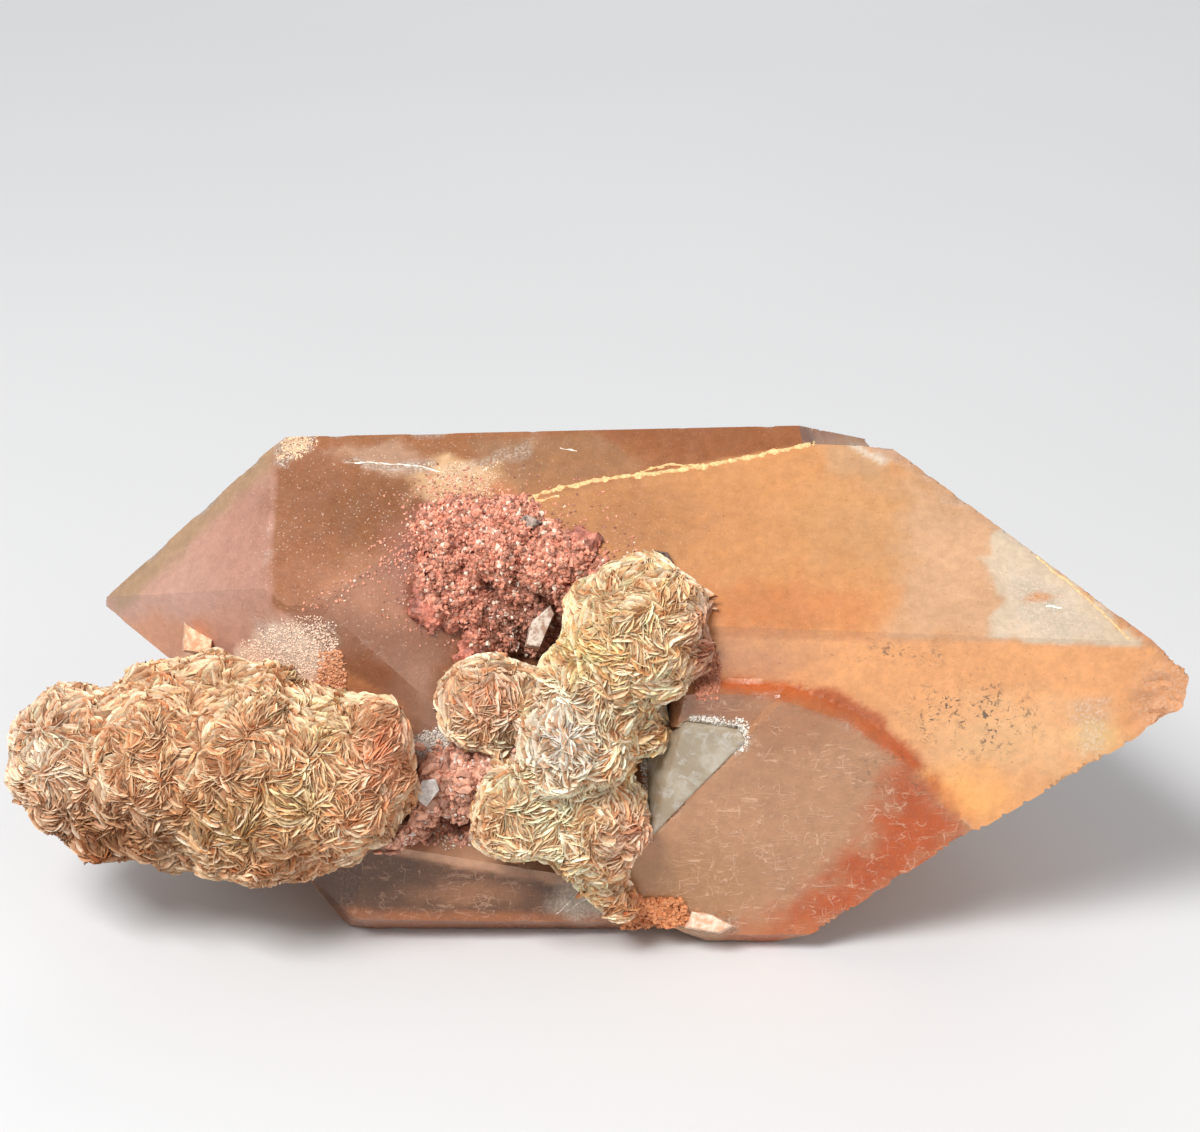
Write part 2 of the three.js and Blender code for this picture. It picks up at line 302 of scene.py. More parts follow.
ridges = tree_of([knot for knot in knots if edges[knot[1]][2] > math.radians(16)])
from_ridge = np.array([ridges.find(Vector(p))[2] for p in points])
chip = waves(points, 0.0028, 1) * 0.6 + waves(points, 0.009, 2, 2)
worn = (1 - smooth(0.0002, 0.0014, from_ridge)) * smooth(0.2, 0.9, chip)
points -= normals * (worn * 0.0004)[:, None]
view = front_view(points)
facing = normals @ np.array(TO_VIEWER)

# Rough broken end of the right crystal, and the hollow under the clear window
window_shape = [(646, 750), (686, 722), (739, 729), (745, 741), (681, 802), (650, 838)]
broken = area(view, [(1168, 705, 34, 44)], 14) * smooth(0.0, 0.02, points[:, 0] - 0.06)
points -= normals * (broken * 0.0009 * (0.6 + waves(points, 0.0028, 5)))[:, None]
hollow = area(view, window_shape, 4) * smooth(0.1, 0.4, facing)
points -= normals * (hollow * (0.0009 + 0.0003 * waves(points, 0.003, 6)))[:, None]
points[:, 2] = np.maximum(points[:, 2], 0)  # chips stay above the floor

# Stains, and one painted glow, in the order they lie: shape, display colour, strength, softness of the edge,
# roughness of the edge
STAINS_AND_GLOW = [
    # pointed face at the far left
    ([(95, 560), (278, 440), (272, 605), (293, 615), (320, 700), (90, 700)], (203, 155, 135), 1, 2, 0),
    ([(250, 540, 45, 90)], (192, 138, 118), 0.7, 30, 10),
    ([(104, 590), (270, 440), (292, 447), (150, 585), (118, 612)], (176, 142, 108), 0.9, 7, 5),
    ([(150, 640, 55, 26)], (219, 150, 108), 0.8, 14, 8),
    ([(236, 650), (262, 628), (330, 612), (340, 640), (338, 690), (250, 690)], (240, 208, 184), 0.95, 5, 9),
    ([(318, 664), (340, 650), (350, 710), (312, 700)], (214, 142, 98), 0.9, 5, 8),
    ([(186, 626), (214, 648), (210, 662), (184, 655)], (238, 190, 150), 1, 2, 2),
    # upper face of the left crystal
    ([(278, 447), (318, 425), (800, 415), (815, 443), (640, 475), (520, 502), (430, 522), (293, 617),
      (272, 605)],
     (158, 101, 62), 1, 2, 0),
    ([(278, 447), (345, 430), (350, 470), (325, 590), (293, 617), (272, 605)], (156, 99, 66), 0.8, 22, 14),
    ([(400, 510, 100, 34)], (128, 78, 42), 0.8, 30, 16),
    ([(470, 440), (600, 430), (640, 468), (560, 496), (500, 498)], (156, 112, 76), 0.8, 5, 6),
    ([(598, 428), (805, 415), (815, 443), (660, 472), (640, 470)], (152, 90, 50), 0.9, 4, 4),
    ([(325, 452), (400, 440), (425, 462), (400, 478)], (205, 168, 140), 0.5, 6, 8),
    ([(462, 482, 46, 22)], (228, 186, 140), 0.9, 8, 16),
    ([(500, 492, 14, 9)], (214, 132, 74), 0.8, 5, 6),
    # dusky wall of the hollow
    ([(293, 617), (430, 522), (520, 502), (600, 560), (560, 660), (470, 790), (400, 700), (335, 665)],
     (152, 98, 69), 1, 2, 0),
    ([(395, 590, 62, 34)], (193, 135, 102), 0.7, 22, 12),
    ([(425, 700, 40, 46)], (174, 127, 100), 0.8, 22, 12),
    ([(480, 560, 84, 66)], (158, 96, 80), 0.8, 26, 16),
    # upper face of the right crystal
    ([(520, 502), (640, 475), (815, 443), (850, 435), (1000, 515), (1165, 660), (1140, 645), (725, 636),
      (600, 660)],
     (213, 148, 93), 1, 2, 0),
    ([(600, 520, 110, 50)], (181, 123, 79), 0.85, 46, 26),
    ([(770, 612, 110, 28)], (203, 126, 75), 0.8, 24, 20),
    ([(900, 520, 90, 60)], (206, 154, 104), 0.7, 40, 20),
    ([(905, 480), (1000, 515), (1165, 660), (1140, 645), (890, 640), (905, 560)],
     (214, 168, 130), 0.85, 22, 14),
    ([(820, 440), (895, 452), (882, 486), (835, 470)], (203, 160, 120), 0.7, 10, 8),
    ([(982, 560), (1000, 520), (1050, 560), (1155, 655), (1060, 646), (985, 636), (1000, 596)],
     (216, 196, 170), 0.85, 4, 9),
    ([(1038, 598, 14, 5)], (216, 138, 66), 1, 3, 4),
    ([(848, 441), (892, 458), (885, 466), (850, 450)], (226, 208, 186), 0.9, 3, 4),
    # lower face of the right crystal
    ([(700, 636), (1150, 646), (1200, 690), (1165, 745), (1110, 760), (975, 840), (925, 770), (850, 705),
      (700, 685)],
     (234, 164, 106), 1, 2, 0),
    ([(740, 662, 64, 26)], (198, 140, 102), 0.85, 22, 14),
    ([(1010, 740, 90, 36)], (233, 184, 132), 0.7, 30, 18),
    # painted glow: light shining through the thin lower edge
    ([(960, 798, 46, 26)], (250, 176, 100), 0.9, 18, 12),
    ([(1165, 705, 36, 44)], (228, 152, 92), 0.85, 16, 12),
    ([(1095, 735, 24, 14)], (244, 196, 128), 0.8, 8, 8),
    # rust-red ledge and the crystal under it
    ([(700, 676), (776, 681), (848, 692), (880, 718), (930, 768), (912, 770), (858, 732), (831, 718),
      (790, 705), (745, 700)],
     (188, 90, 38), 0.95, 4, 5),
    ([(720, 697), (790, 704), (858, 731), (912, 769), (970, 836), (870, 906), (812, 950), (600, 950),
      (600, 880), (649, 840), (745, 741), (700, 704)], (192, 140, 102), 1, 2, 0),
    ([(900, 752), (975, 836), (870, 906), (800, 950), (735, 945), (830, 880), (880, 820)],
     (192, 84, 22), 1, 24, 18),
    ([(680, 885, 66, 40)], (182, 132, 88), 0.8, 28, 16),
    ([(712, 708, 40, 20)], (146, 100, 76), 0.8, 10, 8),
    ([(785, 724, 66, 24)], (172, 116, 80), 0.75, 20, 10),
    ([(800, 930, 60, 10)], (196, 112, 62), 0.7, 8, 6),
    (window_shape, (226, 206, 172), 1, 2, 2),
    # bar-shaped crystal low at the left
    ([(330, 790), (500, 800), (620, 880), (600, 894), (370, 849)], (196, 148, 116), 1, 3, 2),
    ([(310, 870), (370, 849), (600, 893), (620, 940), (330, 940)], (104, 68, 44), 1, 3, 2),
    ([(470, 893, 60, 9)], (176, 120, 84), 0.5, 6, 8),
    ([(584, 900, 30, 22)], (186, 166, 146), 0.9, 8, 8),
    ([(320, 908), (600, 914), (620, 930), (330, 935)], (176, 104, 60), 0.7, 5, 4),
]
base = np.tile(linear((190, 128, 88)), (len(points), 1))
wander = np.stack([waves(points, 0.0035, 11), waves(points, 0.0035, 12)], axis=1)
front = base.copy()
for shape, colour, strength, softness, ragged in STAINS_AND_GLOW:
    weight = strength * area(view + wander * ragged, shape, softness)
    front += (linear(colour) - front) * weight[:, None]
broad = waves(points, 0.03, 21, 2)
back = base + (linear((220, 152, 102)) - base) * smooth(0, 0.5, broad)[:, None]
back += (linear((166, 112, 78)) - back) * smooth(0, 0.5, -broad)[:, None]
tint = back + (front - back) * smooth(-0.12, 0.05, facing)[:, None]

# Fine markings: frost on bruised edges, light scratch lines partly painted as glints, dark specks, painted
# glints
seen = smooth(-0.05, 0.1, facing)
lower_right = [(720, 697), (912, 769), (970, 836), (870, 906), (800, 940), (620, 935), (745, 741), (700, 704)]
frost = worn * 0.35 + 0.25 * broken
for shape, amount, softness in [
    ([(275, 450), (290, 432), (318, 430), (310, 446), (284, 470)], 0.9, 3),
    ([(345, 462), (430, 462), (432, 472)], 0.8, 3),
    ([(440, 470), (520, 445), (540, 436), (530, 452), (450, 482)], 0.35, 5),
    ([(1010, 570), (1060, 590), (1100, 630), (1060, 640), (1020, 620)], 0.35, 12),
    ([(1040, 603), (1062, 606), (1060, 611), (1042, 608)], 1.0, 2),
    ([(700, 650), (716, 655), (714, 672), (706, 668)], 0.5, 3),
    ([(1070, 700), (1112, 700), (1100, 755), (1078, 752)], 0.4, 8),
    ([(255, 620), (335, 625), (332, 668), (262, 662)], 0.5, 10),
    ([(582, 900, 30, 20)], 0.5, 9),
    ([(690, 716), (742, 724), (752, 745), (736, 756), (738, 735), (692, 724)], 0.9, 3),
    ([(414, 740), (440, 728), (470, 738), (466, 764), (430, 766)], 0.8, 6),
    ([(700, 912), (735, 918), (738, 934), (706, 932)], 0.6, 6),
]:
    frost = np.maximum(frost, amount * area(view + wander * 5, shape, softness) * seen)
frost = np.maximum(frost, 0.3 * hollow)
lower_left = [(330, 850), (600, 890), (600, 925), (345, 925)]
# Where the scratch lines lie: light lines that are partly painted glints
scratches_and_glints = np.maximum(area(view, lower_right, 14), 0.5 * area(view, lower_left, 8))
scratches_and_glints = np.maximum(scratches_and_glints, 0.5 * area(view, [(1040, 600, 90, 46)], 20)) * seen
specks = np.maximum(area(view, [(972, 716, 62, 38)], 22), 0.8 * area(view, [(900, 652, 60, 10)], 12))
specks = np.maximum(specks, 0.6 * area(view, [(890, 775, 40, 26)], 16)) * seen
# Painted glints: spots of painted highlight over the left crystal and the hollow
painted_sparkle = np.maximum(area(view, [(410, 540, 190, 110)], 60), 0.5 * area(view, [(600, 540, 120, 80)], 40))
painted_sparkle = painted_sparkle * seen

quartz = mesh_object("quartz_cluster", points, faces, 22)
TINT_STRENGTH = 0.87
paint(quartz, "tint", np.clip(tint * TINT_STRENGTH, 0, 1))
paint(quartz, "frost", np.clip(frost, 0, 1))
paint(quartz, "scratches_and_glints", scratches_and_glints)
paint(quartz, "specks", specks)
paint(quartz, "painted_sparkle", painted_sparkle)

look = Look("tangerine_quartz", Roughness=0.3, IOR=1.544, Coat_Weight=0.2, Coat_Roughness=0.14)


def curves(size, width, shift):
    """Thin winding lines: where a smooth noise passes through its middle value."""
    moved = look.node("VectorMath", {0: look.stretched(size)}, operation="ADD")
    moved.inputs[1].default_value = (shift, -shift, shift)
    settings = {"Vector": moved.outputs[0], "Scale": 1.0, "Detail": 1.5, "Distortion": 0.3}
    field = look.node("TexNoise", settings).outputs["Fac"]
    away = look.math("ABSOLUTE", look.math("SUBTRACT", field, 0.5))
    return look.ramp(away, width, 0.0)


tone = look.times(look.layer("tint", "Color"), look.ramp(look.noise(0.0016, 5, 0.7), 0.28, 0.72, 0.9, 1.1))
tone = look.times(tone, look.ramp(look.noise(0.011, 4, 0.6), 0.3, 0.7, 0.94, 1.06))
grain = look.ramp(look.noise(0.0003, 2, 0.7), 0.6, 0.74)
tone = look.mix(look.math("MULTIPLY", grain, 0.2), tone, (0.95, 0.62, 0.4, 1))
pits = look.ramp(look.noise(0.0006, 3, 0.7), 0.38, 0.26)
tone = look.mix(look.math("MULTIPLY", pits, 0.45), tone, (0.16, 0.05, 0.02, 1))
# Scratch marks are winding hairlines, broken into short runs; their lighter colour is partly painted glint.
marks = curves((0.007, 0.004, 0.0024), 0.014, 3.0)
marks = look.math("MAXIMUM", marks, curves((0.0025, 0.006, 0.007), 0.014, 11.0))
marks = look.math("MAXIMUM", marks, curves((0.008, 0.003, 0.0016), 0.018, 23.0))
marks = look.math("MULTIPLY", marks, look.ramp(look.noise(0.0028, 3, 0.65), 0.44, 0.56))
marks = look.math("MULTIPLY", marks, look.layer("scratches_and_glints"))
tone = look.mix(look.math("MULTIPLY", marks, 0.5), tone, (0.82, 0.5, 0.33, 1))
dots = look.ramp(look.noise(0.0009, 4, 0.75, distortion=0.6), 0.54, 0.6)
dots = look.math("MULTIPLY", dots, look.ramp(look.noise(0.004, 2), 0.44, 0.58))
dots = look.math("MULTIPLY", dots, look.layer("specks"))
tone = look.mix(look.math("MULTIPLY", dots, 0.9), tone, (0.09, 0.06, 0.04, 1))
rind = look.math("MULTIPLY", look.layer("frost"), look.ramp(look.noise(0.0005, 5, 0.8), 0.4, 0.6))
tone = look.mix(rind, tone, (0.82, 0.7, 0.58, 1))
# Painted glints: small pale dots of painted highlight
glint = look.node("TexVoronoi", {"Vector": look.stretched((0.0007, 0.0007, 0.0007)), "Scale": 1.0})
glint = look.ramp(glint.outputs["Distance"], 0.2, 0.1)
glint = look.math("MULTIPLY", glint, look.layer("painted_sparkle"))
tone = look.mix(look.math("MULTIPLY", glint, 0.5), tone, (0.95, 0.72, 0.58, 1))
lines = look.noise(0, 2, 0.5, sizes=(0.0005, 0.02, 0.02))
skin = look.bump(look.noise(0.0008, 5, 0.65), 0.35, 0.0003)
skin = look.bump(lines, 0.14, 0.0002, skin)
skin = look.bump(marks, 0.4, 0.0002, skin)
skin = look.bump(rind, 0.6, 0.0003, skin)
rough = look.ramp(look.noise(0.004, 4, 0.6), 0.3, 0.7, 0.24, 0.42)
rough = look.math("ADD", rough, look.math("MULTIPLY", rind, 0.3))
quartz.data.materials.append(look.finish(tone, skin, rough))
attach(quartz, "root")
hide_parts("quartz_crystals")
quartz_tree = BVHTree.FromPolygons([tuple(p) for p in points.tolist()], faces)

# Clear window: a patch of clean, slightly green silica in the lower right crystal, over a hollow. Its
# rim was crushed white.
corners = []
for x, y in window_shape:
    hit, normal, _, _ = solid_tree.ray_cast(EYE, sight(x, y))
    corners.append((hit, normal))
outward = sum((normal for _, normal in corners), Vector()).normalized()
bm = bmesh.new()
for lift in (0.00015, -0.001):
    for hit, _ in corners:
        bm.verts.new(hit + outward * lift)
bmesh.ops.convex_hull(bm, input=bm.verts)
bmesh.ops.dissolve_limit(bm, angle_limit=math.radians(2), verts=bm.verts, edges=bm.edges)
bmesh.ops.bevel(
    bm, geom=list(bm.edges), offset=0.0003, offset_type="OFFSET", segments=2, profile=0.5,
    affect="EDGES", clamp_overlap=True, material=-1,
)
clear = bpy.data.objects.new("clear_window", bpy.data.meshes.new("clear_window"))
bm.to_mesh(clear.data)
bm.free()
bpy.context.collection.objects.link(clear)
look = Look("clear_quartz", Roughness=0.08, IOR=1.544, Transmission_Weight=0.5)
shade = look.mix(look.ramp(look.noise(0.004), 0.4, 0.7), (0.62, 0.5, 0.35, 1), (0.86, 0.76, 0.6, 1))
flaws = look.ramp(look.noise(0.0028, 5, 0.75, distortion=0.8), 0.5, 0.64, 0.0, 0.7)
shade = look.mix(flaws, shade, (0.95, 0.9, 0.82, 1))
veil = look.bump(look.noise(0.002, 4), 0.15, 0.0002)
clear.data.materials.append(look.finish(shade, veil))
absorb = look.node("VolumeAbsorption", {"Color": (0.8, 0.86, 0.7, 1), "Density": 12.0})
look.tree.links.new(absorb.outputs[0], look.tree.nodes["Material Output"].inputs["Volume"])
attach(clear, "root")


# Rosettes: iron-stained aggregates that grew outward as packs of thin curved blades standing on edge,
# tan and salmon at the left, cream and yellow over the middle.
def joined(name, templates, places, smooth_angle=None):
    """One mesh of many copies. A place is (template number, 3 x 3 axes as columns, foot, colour)."""
    all_points, all_faces, colours, depths, start = [], [], [], [], 0
    for kind, axes, foot, colour in places:
        local, polygons = templates[kind]
        all_points.append(local @ axes.T + foot)
        all_faces += [tuple(i + start for i in polygon) for polygon in polygons]
        colours.append(np.tile(colour, (len(local), 1)))
        depths.append(local[:, 2])
        start += len(local)
    low, high = (np.array(corner) for corner in cad_box)
    inside = np.clip(np.concatenate(all_points), low + 0.00002, high - 0.00002)
    made = mesh_object(name, inside, all_faces, smooth_angle)
    return made, np.concatenate(colours), np.concatenate(depths)


def blade_template(bend, seed):
    """A thin bent plate on edge, from -1 to 1 along x, with its rim at height 1 and thickness along y."""
    stations, polygons = [], []
    for i in range(5):
        s = -1 + i / 2
        rim = (1 - 0.8 * abs(s) ** 3) * (0.92 + 0.08 * math.sin(7 * s + seed))
        middle = bend * s * s + 0.2 * math.sin(3 * s + seed)
        half = 0.5 * (1 - 0.65 * s * s)
        stations += [(s, middle - half, -0.8), (s, middle, rim), (s, middle + half, -0.8)]
    for i in range(4):
        polygons += [(3 * i + j, 3 * i + j + 3, 3 * i + j + 4, 3 * i + j + 1) for j in (0, 1)]
    return np.array(stations), polygons


def scattered(points, normals, faces, count, draw):
    """Random places spread evenly over a surface, with the surface's direction at each."""
    corners = np.array([face[:3] for face in faces] + [(f[0], f[2], f[3]) for f in faces if len(f) == 4])
    a, b, c = (points[corners[:, k]] for k in range(3))
    sizes = np.linalg.norm(np.cross(b - a, c - a), axis=1)
    picked = corners[draw.choice(len(corners), count, p=sizes / sizes.sum())]
    parts = draw.dirichlet((1, 1, 1), count)
    feet = sum(points[picked[:, k]] * parts[:, k : k + 1] for k in range(3))
    outs = sum(normals[picked[:, k]] * parts[:, k : k + 1] for k in range(3))
    return feet, outs / np.linalg.norm(outs, axis=1)[:, None]


# Distance between the middles of two fans, and the room that a blade keeps to the next one
FAN_SPACING = 0.0058
BLADE_CELL = 0.0013
LEAST_ALONG, LEAST_ACROSS = 0.0012, 0.00028
LOWEST_BLADE = 0.0016


def blades_on(bed, seed, shades):
    """Blades in fans that spread from many centres, packed side by side without crossing."""
    draw = np.random.default_rng(seed)
    feet, outs = scattered(*bed, 60000, draw)
    centres = []
    for foot in feet[:2500]:
        if all(np.linalg.norm(foot - other) > FAN_SPACING for other in centres):
            centres.append(foot)
    centres = np.array(centres)
    drift = draw.uniform(-0.7, 0.7, len(centres))
    grid, places = {}, []
    for foot, out in zip(feet, outs):
        if foot[2] < LOWEST_BLADE:
            continue
        reach = np.linalg.norm(centres - foot, axis=1)
        nearest = int(reach.argmin())
        spread = foot - centres[nearest]
        spread = spread - out * (spread @ out) + draw.normal(size=3) * 0.0004
        spread /= np.linalg.norm(spread)
        side = np.cross(out, spread)
        turn = drift[nearest] + 0.9 * noise.noise(Vector(foot) / 0.004 + Vector((seed, 0, 0)))
        turn += draw.normal() * 0.2
        along = math.cos(turn) * spread + math.sin(turn) * side
        across = np.cross(out, along)
        cell = tuple((foot // BLADE_CELL).astype(int))
        near = [
            other for dx in (-1, 0, 1) for dy in (-1, 0, 1) for dz in (-1, 0, 1)
            for other in grid.get((cell[0] + dx, cell[1] + dy, cell[2] + dz), ())
        ]
        if near:
            gaps = np.array(near) - foot
            if ((np.abs(gaps @ along) < LEAST_ALONG) & (np.abs(gaps @ across) < LEAST_ACROSS)).any():
                continue
        grid.setdefault(cell, []).append(foot)
        if quartz_tree.find_nearest(Vector(foot))[3] < 0.0005:
            continue
        up = out + spread * draw.uniform(-0.2, 0.4) + across * draw.normal() * 0.3
        up -= along * (up @ along)
        up /= np.linalg.norm(up)
        length = draw.uniform(0.0010, 0.0024)
        thick = draw.uniform(0.00034, 0.00054)
        height = draw.uniform(0.0004, 0.0009)
        axes = np.stack([along * length, np.cross(up, along) * thick, up * height], axis=1)
        shade = shades(foot, draw) * draw.uniform(0.7, 1.2)
        whim = draw.random()
        if whim < 0.1:
            shade = shade + (linear((250, 232, 205)) - shade) * 0.6
        elif whim < 0.26:
            shade = shade * np.array((0.8, 0.6, 0.48))
        places.append((int(draw.integers(0, 6)), axes, foot, np.clip(shade, 0, 1)))
    return places


def blade_look(name):
    look = Look(name, Roughness=0.55, IOR=1.5, Specular_IOR_Level=0.4)
    shade = look.times(look.layer("tint", "Color"), look.ramp(look.noise(0.0005, 3), 0.3, 0.7, 0.82, 1.15))
    # Painted shade: each blade darkens towards its foot, where shade falls between the blades.
    painted_gap_shade = look.mix(1.0, shade, (0.66, 0.44, 0.32, 1), "MULTIPLY")
    shade = look.mix(look.ramp(look.layer("height"), 0.7, -0.5), shade, painted_gap_shade)
    return look.finish(shade, look.bump(look.noise(0.0004, 2), 0.3, 0.0001))


def rosette(name, node, seed, shades, bed_colour, lumps=()):
    low, high = (np.array(corner) for corner in cad_box)
    points, normals, faces = even_copy(node, voxel=0.0009, soft=10, fill=0.0018, lumps=lumps)
    points = points + normals * (0.0004 + 0.0007 * waves(points, 0.0045, seed))[:, None]
    points = np.clip(points, low + 0.0002, high - 0.0002)
    templates = [blade_template(bend, i) for i, bend in enumerate((-0.9, -0.5, -0.2, 0.3, 0.6, 1.0))]
    places = blades_on((points, normals, faces), seed, shades)
    made, colours, heights = joined(name, templates, places, 50)
    paint(made, "tint", colours)
    paint(made, "height", heights)
    made.data.materials.append(blade_look(name + "_blades"))
    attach(made, "root")
    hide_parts(node)
    bed = mesh_object(name + "_bed", points, faces, 180)
    look = Look(name + "_bed", Roughness=0.85)
    dark = [channel * 0.5 for channel in bed_colour] + [1]
    shade = look.mix(look.ramp(look.noise(0.001, 4), 0.35, 0.65), dark, list(bed_colour) + [1])
    bed.data.materials.append(look.finish(shade, look.bump(look.noise(0.0007, 3), 0.8, 0.0005)))
    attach(bed, "root")


def left_shades(foot, draw):
    x, y = front_view(foot[None])[0]
    shade = linear((255, 228, 192) if draw.random() < 0.6 else (250, 204, 160))
    # The darker zones low on the mass, at y 828 to 868, are painted shade: the underside of the mass lies in
    # shade.
    for cx, cy, rx, ry, colour, strength in [
        (335, 725, 40, 50, (255, 240, 196), 0.7), (290, 800, 40, 26, (255, 236, 180), 0.7),
        (230, 828, 60, 36, (186, 150, 92), 0.85), (44, 752, 46, 60, (255, 242, 222), 0.85),
        (385, 750, 34, 50, (240, 176, 138), 0.85), (90, 860, 60, 30, (196, 142, 104), 0.8),
        (250, 690, 70, 40, (255, 232, 196), 0.6), (104, 832, 76, 36, (166, 116, 76), 0.9),
        (300, 868, 60, 24, (206, 152, 108), 0.7),
    ]:
        weight = strength * math.exp(-((x - cx) / rx) ** 2 - ((y - cy) / ry) ** 2)
        shade = shade + (linear(colour) - shade) * weight
    return shade


rosette("left_rosette_mass", "left_rosette", 3, left_shades, (0.52, 0.26, 0.13))


def middle_shades(foot, draw):
    x, y = front_view(foot[None])[0]
    shade = linear((255, 240, 208) if draw.random() < 0.6 else (255, 220, 170))
    for cx, cy, rx, ry, colour, strength in [
        # The pale zones low on the mass, at y 700 to 840, are cream and carry painted light as well: their
        # faces turn down into shade.
        (562, 742, 38, 50, (255, 255, 246), 0.95), (600, 600, 60, 40, (255, 230, 190), 0.6),
        (580, 650, 40, 26, (255, 236, 168), 0.6),
        (485, 700, 46, 44, (252, 214, 188), 0.85), (540, 815, 60, 30, (255, 252, 222), 0.85),
        (628, 840, 28, 36, (246, 200, 174), 0.85), (706, 650, 18, 60, (196, 130, 104), 0.9),
        (645, 905, 30, 20, (240, 166, 110), 0.9), (480, 830, 24, 40, (244, 196, 150), 0.6),
    ]:
        weight = strength * math.exp(-((x - cx) / rx) ** 2 - ((y - cy) / ry) ** 2)
        shade = shade + (linear(colour) - shade) * weight
    return shade


# A small lobe at the left of the middle mass, which isn't part of its solid
SIDE_LUMPS = [(-18.6, -29.8, 41.8, 7.4), (-12.4, -30.5, 43.0, 4.6)]
rosette(
    "middle_rosette_mass", "middle_rosette", 8, middle_shades, (0.66, 0.38, 0.2), SIDE_LUMPS
)


# Red druse: a carpet of tiny quartz crystals coated with maroon iron oxide, which grew in the hollow
# between the large crystals.
def crystal_template(shoulder):
    """A small six-sided crystal on end: width 1, height 1, with a pointed tip."""
    rings = [(-0.6, 1.0), (shoulder, 0.95)]
    local = [
        (math.cos(math.radians(60 * k)) * width, math.sin(math.radians(60 * k)) * width, height)
        for height, width in rings for k in range(6)
    ]
    local.append((0, 0, 1))
    polygons = [(k, (k + 1) % 6, 6 + (k + 1) % 6, 6 + k) for k in range(6)]
    polygons += [(6 + k, 6 + (k + 1) % 6, 12) for k in range(6)]
    return np.array(local), polygons


# A sight line that meets something farther than this has passed the front growths.
FARTHEST = VIEW_DISTANCE + 0.03


def grown_on(tree, shape, count, draw, shades, width, height, lean=0.5, lift=0.0):
    """Small crystals scattered over a patch of the front view."""
    outline = np.array(shape, float)
    if len(shape) == 1:
        x, y, rx, ry = shape[0]
        low, high = np.array((x - rx, y - ry)), np.array((x + rx, y + ry))
    else:
        low, high = outline.min(axis=0), outline.max(axis=0)
    trial = draw.uniform(low, high, size=(count * 3, 2))
    flat = np.hstack([trial, np.zeros((len(trial), 1))])
    sway = [[9 * noise.fractal(Vector(p + (0, 0, z)) / 14, 1.0, 2.0, 3) for z in (0, 90)] for p in flat]
    keep = trial[area(trial + np.array(sway), shape, 8) > draw.random(len(trial))][:count]
    places = []
    for x, y in keep:
        hit, normal, _, _ = tree.ray_cast(EYE, sight(x, y))
        if hit is None or (hit - EYE).length > FARTHEST:
            continue
        up = np.array(normal) + draw.normal(size=3) * lean
        up /= np.linalg.norm(up)
        forward = np.cross(up, draw.normal(size=3))
        forward /= np.linalg.norm(forward)
        thick = np.cross(up, forward)
        size = draw.uniform(*width)
        axes = np.stack([forward * size, thick * size, up * draw.uniform(*height)], axis=1)
        foot = np.array(hit) + np.array(normal) * lift * draw.random()
        places.append((int(draw.integers(0, 3)), axes, foot, np.clip(shades((x, y), draw), 0, 1)))
    return places


def grain_look(name, roughness, mottle=0.2):
    look = Look(name, Roughness=roughness, IOR=1.544)
    fine = look.ramp(look.noise(0.0005, 4, 0.7), 0.3, 0.7, 1 - mottle, 1 + mottle)
    shade = look.times(look.layer("tint", "Color"), fine)
    return look.finish(shade, look.bump(look.noise(0.0004, 4, 0.7), 0.5, 0.0002))


def joined_trees(*parts):
    """One search tree over several (points, faces) pairs."""
    all_points, all_faces = [], []
    for some_points, some_faces in parts:
        all_faces += [tuple(i + len(all_points) for i in face) for face in some_faces]
        all_points += [tuple(p) for p in np.asarray(some_points).tolist()]
    return BVHTree.FromPolygons(all_points, all_faces)


def rough_bed(name, node, voxel, soft, swell, colour, spread, lumps=()):
    """The body of a crust: the CAD form softened, then roughened again."""
    bed_points, bed_normals, bed_faces = even_copy(node, voxel, soft, lumps=lumps)
    rise = swell * waves(bed_points, 0.0026, 31) + 0.5 * swell * waves(bed_points, 0.0009, 32, 2)
    bed_points = bed_points + bed_normals * rise[:, None]
    bed = mesh_object(name, bed_points, bed_faces, 35)
    shift = waves(bed_points, 0.0022, 33)
    paint(bed, "tint", np.clip(linear(colour) * (1 + spread * shift)[:, None], 0, 1))
    bed.data.materials.append(grain_look(name, 0.55, mottle=0.4))
    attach(bed, "root")
    return bed_points, bed_faces


CRYSTALS = [crystal_template(height) for height in (0.25, 0.5, 0.65)]
draw = np.random.default_rng(41)
DRUSE_SHAPE = [(415, 515), (450, 495), (520, 498), (575, 545), (606, 560), (600, 600), (560, 655), (520, 652),
               (470, 640), (430, 600), (412, 560)]
druse_bed = rough_bed("red_druse_bed", "red_druse", 0.0005, 6, 0.0011, (190, 118, 98), 0.9)
druse_tree = joined_trees((points, faces), druse_bed)


def druse_shades(place, draw):
    shade = linear((234, 160, 132)) * draw.uniform(0.35, 1.2)
    # Painted shade: crystals darker at the bottom of the pocket beside the middle rosette.
    dark = math.exp(-(((place[0] - 525) / 45) ** 2) - ((place[1] - 625) / 34) ** 2)
    shade = shade * (1 - 0.4 * dark)
    if draw.random() < 0.07:
        shade = linear((250, 226, 204))
    return shade


